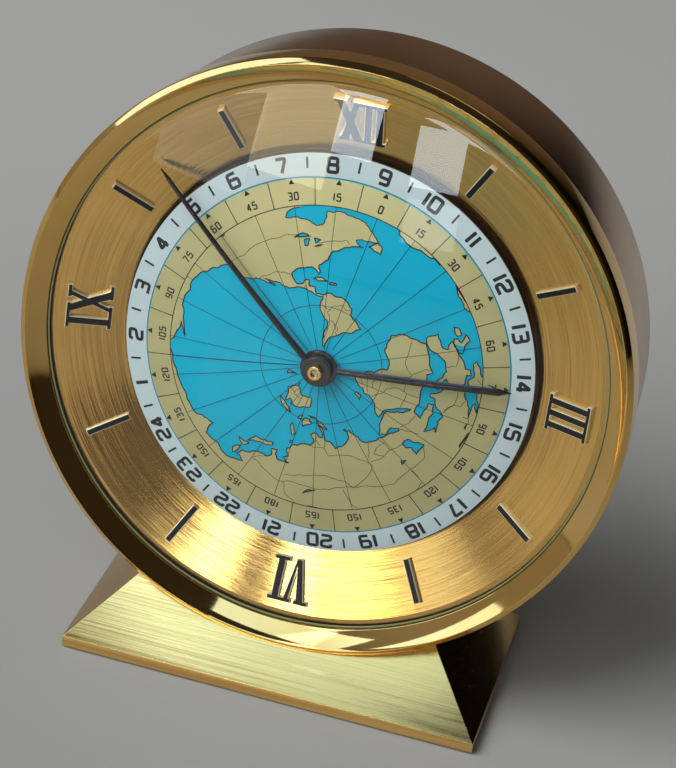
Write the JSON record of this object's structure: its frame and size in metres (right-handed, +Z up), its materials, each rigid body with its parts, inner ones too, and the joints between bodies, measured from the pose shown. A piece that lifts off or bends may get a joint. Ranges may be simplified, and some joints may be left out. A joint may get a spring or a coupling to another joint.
{
  "type": "world-time desk clock",
  "caption": "Round gilt desk clock leaning on a hipped base, with a domed polar map, a 24-hour ring and a wound movement.",
  "frame": {"origin": "centre of the base's underside, on the surface that the clock stands on", "axes": "+Z up, +X to the right of the dial, -Y out of the front"},
  "size_m": [0.115, 0.0526, 0.1227],
  "materials": {
    "brushed_gold": "satin",
    "polished_gold": "polished",
    "drum_brass": "polished",
    "dial_gold": "circular brushed",
    "black_enamel": "gloss",
    "crystal_glass": "clear",
    "map_print": "printed satin",
    "ring_print": "printed satin",
    "felt_green": "felt",
    "steel": "satin",
    "plate_brass": "satin",
    "spring_steel": "blued"
  },
  "bodies": {
    "clock_case": {"base_block": "brushed_gold", "base_felt": "felt_green", "base_screws": "steel", "case_drum": "drum_brass", "bezel": "polished_gold", "crystal": "crystal_glass", "gasket_ring": "polished_gold", "rear_cover": "brushed_gold", "rear_screws": "steel", "dial_plate": "dial_gold", "hour_batons": "polished_gold", "baton_faces": "black_enamel", "roman_numerals": "polished_gold", "numeral_faces": "black_enamel", "wheel_studs": "steel", "front_plate": "plate_brass", "back_plate": "plate_brass", "dial_posts": "plate_brass", "pillars": "plate_brass", "plate_screws": "steel", "click": "steel", "bridge_screws": "steel", "hairspring": "spring_steel", "balance_cock": "plate_brass"},
    "minute_hand_body": {"minute_hand": "black_enamel", "hand_nut": "polished_gold", "cannon_pinion": "steel"},
    "hour_hand_body": {"hour_hand": "black_enamel", "hour_wheel": "plate_brass"},
    "minute_wheel_body": {"minute_wheel": "plate_brass"},
    "day_idler_body": {"day_idler": "plate_brass"},
    "day_ring_body": {"day_wheel": "plate_brass", "day_ring_carrier": "plate_brass", "day_ring": "ring_print"},
    "set_knob_body": {"set_arbor": "steel", "set_knob": "polished_gold"},
    "map_body": {"map_wheel": "plate_brass", "map_disc": "map_print"},
    "map_knob_body": {"map_arbor": "steel", "map_knob": "polished_gold"},
    "winding_body": {"barrel_arbor": "steel", "ratchet_wheel": "steel", "winding_key": "polished_gold"},
    "barrel_body": {"barrel_drum": "plate_brass", "barrel_cover": "plate_brass", "mainspring": "spring_steel"},
    "second_body": {"second_arbor": "steel", "second_wheel": "plate_brass"},
    "centre_body": {"centre_arbor": "steel", "centre_wheel": "plate_brass"},
    "third_body": {"third_arbor": "steel", "third_wheel": "plate_brass"},
    "fourth_body": {"fourth_arbor": "steel", "fourth_wheel": "plate_brass"},
    "escape_body": {"escape_arbor": "steel", "escape_wheel": "steel"},
    "lever_body": {"pallet_lever": "steel"},
    "balance_body": {"balance_staff": "steel", "balance_wheel": "plate_brass"}
  },
  "joints": [
    {"name": "minute_hand_turn", "type": "hinge", "parent": "clock_case", "child": "minute_hand_body", "pos_m": [0, -0.00235, 0.06509], "axis": [0, 0.9903, -0.1392], "continuous": true},
    {"name": "hour_hand_turn", "type": "hinge", "parent": "clock_case", "child": "hour_hand_body", "pos_m": [0, -0.00235, 0.06509], "axis": [0, 0.9903, -0.1392], "continuous": true},
    {"name": "minute_wheel_turn", "type": "hinge", "parent": "clock_case", "child": "minute_wheel_body", "pos_m": [-0.00167, -0.00367, 0.05573], "axis": [0, 0.9903, -0.1392], "continuous": true},
    {"name": "day_idler_turn", "type": "hinge", "parent": "clock_case", "child": "day_idler_body", "pos_m": [0.00793, -0.00372, 0.05539], "axis": [0, 0.9903, -0.1392], "continuous": true},
    {"name": "day_ring_turn", "type": "hinge", "parent": "clock_case", "child": "day_ring_body", "pos_m": [0, -0.00235, 0.06509], "axis": [0, 0.9903, -0.1392], "continuous": true},
    {"name": "set_knob_turn", "type": "hinge", "parent": "clock_case", "child": "set_knob_body", "pos_m": [-0.00333, -0.00499, 0.04637], "axis": [0, 0.9903, -0.1392], "continuous": true},
    {"name": "map_turn", "type": "hinge", "parent": "clock_case", "child": "map_body", "pos_m": [0, -0.00235, 0.06509], "axis": [0, 0.9903, -0.1392], "continuous": true},
    {"name": "map_knob_turn", "type": "hinge", "parent": "clock_case", "child": "map_knob_body", "pos_m": [0.0029, -0.00085, 0.0758], "axis": [0, 0.9903, -0.1392], "continuous": true},
    {"name": "winding_turn", "type": "hinge", "parent": "clock_case", "child": "winding_body", "pos_m": [-0.01691, -0.00321, 0.05899], "axis": [0, 0.9903, -0.1392], "range_deg": [0, 2340], "deforming": ["click", "mainspring"]},
    {"name": "fourth_wheel_turn", "type": "hinge", "parent": "clock_case", "child": "fourth_body", "pos_m": [0.01415, -0.00304, 0.06021], "axis": [0, 0.9903, -0.1392], "continuous": true},
    {"name": "escape_wheel_turn", "type": "hinge", "parent": "clock_case", "child": "escape_body", "pos_m": [0.01548, -0.00199, 0.06772], "axis": [0, 0.9903, -0.1392], "continuous": true},
    {"name": "third_wheel_turn", "type": "hinge", "parent": "clock_case", "child": "third_body", "pos_m": [0.00648, -0.00343, 0.05744], "axis": [0, 0.9903, -0.1392], "continuous": true},
    {"name": "centre_wheel_turn", "type": "hinge", "parent": "clock_case", "child": "centre_body", "pos_m": [0, -0.00235, 0.06509], "axis": [0, 0.9903, -0.1392], "continuous": true},
    {"name": "second_wheel_turn", "type": "hinge", "parent": "clock_case", "child": "second_body", "pos_m": [-0.00726, -0.0013, 0.07261], "axis": [0, 0.9903, -0.1392], "continuous": true},
    {"name": "barrel_turn", "type": "hinge", "parent": "clock_case", "child": "barrel_body", "pos_m": [-0.01691, -0.00321, 0.05899], "axis": [0, 0.9903, -0.1392], "continuous": true},
    {"name": "lever_rock", "type": "hinge", "parent": "clock_case", "child": "lever_body", "pos_m": [0.01411, -0.00127, 0.07279], "axis": [0, 0.9903, -0.1392], "range_deg": [-5, 5]},
    {"name": "balance_swing", "type": "hinge", "parent": "clock_case", "child": "balance_body", "pos_m": [0.01287, -0.00063, 0.07738], "axis": [0, 0.9903, -0.1392], "range_deg": [-220, 220], "stiffness_Nm_per_rad": 0.0000025, "deforming": ["hairspring"]}
  ],
  "couplings": [
    {"joint": "minute_hand_turn", "follows": "day_ring_turn", "ratio": -24},
    {"joint": "hour_hand_turn", "follows": "day_ring_turn", "ratio": -2},
    {"joint": "minute_wheel_turn", "follows": "day_ring_turn", "ratio": 8},
    {"joint": "day_idler_turn", "follows": "day_ring_turn", "ratio": -2},
    {"joint": "set_knob_turn", "follows": "day_ring_turn", "ratio": -24},
    {"joint": "map_knob_turn", "follows": "map_turn", "ratio": -1.3333},
    {"joint": "escape_wheel_turn", "follows": "fourth_wheel_turn", "ratio": -10},
    {"joint": "third_wheel_turn", "follows": "fourth_wheel_turn", "ratio": -0.13333},
    {"joint": "centre_wheel_turn", "follows": "fourth_wheel_turn", "ratio": 0.016667},
    {"joint": "second_wheel_turn", "follows": "fourth_wheel_turn", "ratio": -0.0033333},
    {"joint": "barrel_turn", "follows": "fourth_wheel_turn", "ratio": 0.00055556}
  ]
}
